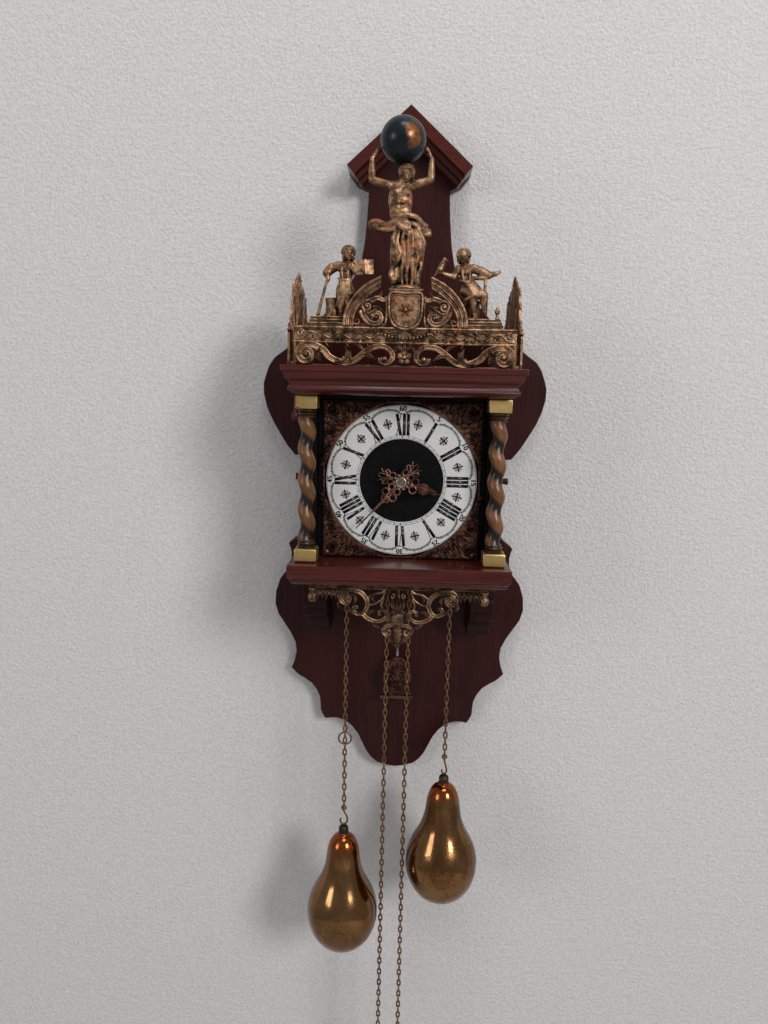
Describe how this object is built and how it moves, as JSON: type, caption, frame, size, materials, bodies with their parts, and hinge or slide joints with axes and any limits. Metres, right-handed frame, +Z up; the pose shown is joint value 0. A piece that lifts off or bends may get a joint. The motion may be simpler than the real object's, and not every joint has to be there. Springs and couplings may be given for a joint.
{
  "type": "zaanse clock",
  "caption": "Weight-driven striking wall clock: shaped backboard, wooden case, round dial, brass crest with a figure holding a globe, pendulum, and pear weights on chains.",
  "frame": {"origin": "on the back face of the backboard, straight behind the middle of the dial", "axes": "+Z up, +Y into the wall, so the dial faces -Y"},
  "size_m": [0.2774, 0.165, 0.9351],
  "materials": {
    "mahogany": "dark red-brown, satin lacquer",
    "walnut": "golden brown, dark in the grooves, satin lacquer",
    "cap_brass": "worn bright brass with darker corners",
    "aged_brass": "dark aged casting with bright rubbed edges",
    "black_paint": "matt black",
    "silvered": "silvered ring with black engraving",
    "enamel": "blue-black with rubbed brass-orange patches",
    "movement_brass": "plain rolled brass",
    "steel": "plain steel",
    "chain_brass": "dull brass wire",
    "weight_brass": "polished, with dark tarnish spots",
    "red_lacquer": "dark red lacquer"
  },
  "bodies": {
    "root": {"backboard": "mahogany", "gable_moulding": "mahogany", "cornice": "mahogany", "plinth": "mahogany", "dial_frame": "mahogany", "corbel_left": "mahogany", "corbel_right": "mahogany", "column_left": "walnut", "column_right": "walnut", "column_cap_lower_left": "cap_brass", "column_cap_upper_left": "cap_brass", "column_cap_lower_right": "cap_brass", "column_cap_upper_right": "cap_brass", "crest_front": "aged_brass", "crest_side_left": "aged_brass", "crest_side_right": "aged_brass", "atlas_figure": "aged_brass", "seated_figure_left": "aged_brass", "seated_figure_right": "aged_brass", "apron": "aged_brass", "corner_spandrels": "aged_brass", "dial_plate": "black_paint", "chapter_ring": "silvered", "globe": "enamel", "front_plate": "movement_brass", "back_plate": "movement_brass", "pendulum_cock": "movement_brass", "bell": "movement_brass", "hanger_plate": "movement_brass", "bell_stand": "steel", "seat_screw_left": "steel", "seat_screw_right": "steel"},
    "minute": {"centre_wheel": "movement_brass", "cannon_pinion": "movement_brass", "minute_hand": "aged_brass", "hand_collet": "movement_brass"},
    "hour": {"hour_wheel": "movement_brass", "hour_hand": "aged_brass"},
    "minute_wheel": {"minute_wheel": "movement_brass"},
    "going_great": {"going_great_wheel": "movement_brass"},
    "third": {"third_wheel": "movement_brass"},
    "escape": {"escape_wheel": "movement_brass"},
    "strike_great": {"strike_great_wheel": "movement_brass"},
    "pin_wheel": {"pin_wheel": "movement_brass"},
    "fly": {"fly": "movement_brass"},
    "pendulum": {"pendulum_rod": "movement_brass", "pendulum_bob": "aged_brass"},
    "anchor": {"anchor": "steel"},
    "hammer": {"hammer": "steel"},
    "going_weight": {"going_weight": "weight_brass", "going_chain_loaded": "chain_brass"},
    "going_chain_wheel": {"going_chain_wheel": "movement_brass"},
    "going_free_chain": {"going_chain_free": "chain_brass"},
    "strike_weight": {"strike_weight": "weight_brass", "strike_chain_loaded": "chain_brass"},
    "strike_chain_wheel": {"strike_chain_wheel": "movement_brass"},
    "strike_free_chain": {"strike_chain_free": "chain_brass"},
    "door_left": {"side_door_left": "mahogany"},
    "door_right": {"side_door_right": "mahogany"},
    "drop_pull": {"drop_pull": "red_lacquer"}
  },
  "joints": [
    {"name": "minute_turn", "type": "hinge", "parent": "root", "child": "minute", "pos_m": [0, -0.09, 0], "axis": [0, 1, 0], "continuous": true},
    {"name": "hour_turn", "type": "hinge", "parent": "root", "child": "hour", "pos_m": [0, -0.09, 0], "axis": [0, 1, 0], "continuous": true},
    {"name": "minute_wheel_turn", "type": "hinge", "parent": "root", "child": "minute_wheel", "pos_m": [0, -0.09, -0.0203], "axis": [0, 1, 0], "continuous": true},
    {"name": "going_great_turn", "type": "hinge", "parent": "root", "child": "going_great", "pos_m": [0.029, -0.09, -0.02], "axis": [0, 1, 0], "continuous": true},
    {"name": "third_turn", "type": "hinge", "parent": "root", "child": "third", "pos_m": [0.0195, -0.09, 0.014], "axis": [0, 1, 0], "continuous": true},
    {"name": "escape_turn", "type": "hinge", "parent": "root", "child": "escape", "pos_m": [0, -0.09, 0.028], "axis": [0, 1, 0], "continuous": true},
    {"name": "strike_great_turn", "type": "hinge", "parent": "root", "child": "strike_great", "pos_m": [-0.029, -0.09, -0.02], "axis": [0, 1, 0], "continuous": true},
    {"name": "pin_wheel_turn", "type": "hinge", "parent": "root", "child": "pin_wheel", "pos_m": [-0.03, -0.09, 0.015], "axis": [0, 1, 0], "continuous": true},
    {"name": "fly_turn", "type": "hinge", "parent": "root", "child": "fly", "pos_m": [-0.03, -0.09, 0.0306], "axis": [0, 1, 0], "continuous": true},
    {"name": "pendulum_swing", "type": "hinge", "parent": "root", "child": "pendulum", "pos_m": [0, -0.03, 0.044], "axis": [0, 1, 0], "range_deg": [-4, 4]},
    {"name": "anchor_rock", "type": "hinge", "parent": "root", "child": "anchor", "pos_m": [0, -0.09, 0.044], "axis": [0, 1, 0], "range_deg": [-4, 4]},
    {"name": "hammer_lift", "type": "hinge", "parent": "root", "child": "hammer", "pos_m": [-0.055, -0.043, -0.005], "axis": [0, -1, 0], "range_deg": [0, 18], "stiffness_Nm_per_rad": 0.02, "springref_deg": -3.44},
    {"name": "going_weight_slide", "type": "slide", "parent": "root", "child": "going_weight", "axis": [0, 0, 1], "range_m": [-0.07, 0.07]},
    {"name": "going_chain_wheel_turn", "type": "hinge", "parent": "root", "child": "going_chain_wheel", "pos_m": [0.029, -0.083, -0.02], "axis": [0, 1, 0], "continuous": true},
    {"name": "going_free_chain_slide", "type": "slide", "parent": "root", "child": "going_free_chain", "axis": [0, 0, 1], "range_m": [-0.07, 0.07]},
    {"name": "strike_weight_slide", "type": "slide", "parent": "root", "child": "strike_weight", "axis": [0, 0, 1], "range_m": [-0.07, 0.07]},
    {"name": "strike_chain_wheel_turn", "type": "hinge", "parent": "root", "child": "strike_chain_wheel", "pos_m": [-0.029, -0.083, -0.02], "axis": [0, 1, 0], "continuous": true},
    {"name": "strike_free_chain_slide", "type": "slide", "parent": "root", "child": "strike_free_chain", "axis": [0, 0, 1], "range_m": [-0.07, 0.07]},
    {"name": "left_door_swing", "type": "hinge", "parent": "root", "child": "door_left", "pos_m": [-0.082, -0.0232, 0], "axis": [0, 0, -1], "range_deg": [0, 90]},
    {"name": "right_door_swing", "type": "hinge", "parent": "root", "child": "door_right", "pos_m": [0.082, -0.0232, 0], "axis": [0, 0, 1], "range_deg": [0, 90]},
    {"name": "drop_pull_slide", "type": "slide", "parent": "root", "child": "drop_pull", "axis": [0, 0, -1], "range_m": [0, 0.006]}
  ],
  "couplings": [
    {"joint": "hour_turn", "follows": "minute_turn", "ratio": 0.083333},
    {"joint": "minute_wheel_turn", "follows": "minute_turn", "ratio": -0.33333},
    {"joint": "going_great_turn", "follows": "minute_turn", "ratio": -0.33333},
    {"joint": "third_turn", "follows": "minute_turn", "ratio": -10},
    {"joint": "escape_turn", "follows": "minute_turn", "ratio": 120},
    {"joint": "pin_wheel_turn", "follows": "strike_great_turn", "ratio": -3},
    {"joint": "fly_turn", "follows": "strike_great_turn", "ratio": 24},
    {"joint": "anchor_rock", "follows": "pendulum_swing", "ratio": 1},
    {"joint": "going_chain_wheel_turn", "follows": "going_weight_slide", "rad_per_m": -52.632},
    {"joint": "going_free_chain_slide", "follows": "going_weight_slide", "ratio": -1},
    {"joint": "strike_chain_wheel_turn", "follows": "strike_weight_slide", "rad_per_m": 52.632},
    {"joint": "strike_free_chain_slide", "follows": "strike_weight_slide", "ratio": -1}
  ]
}
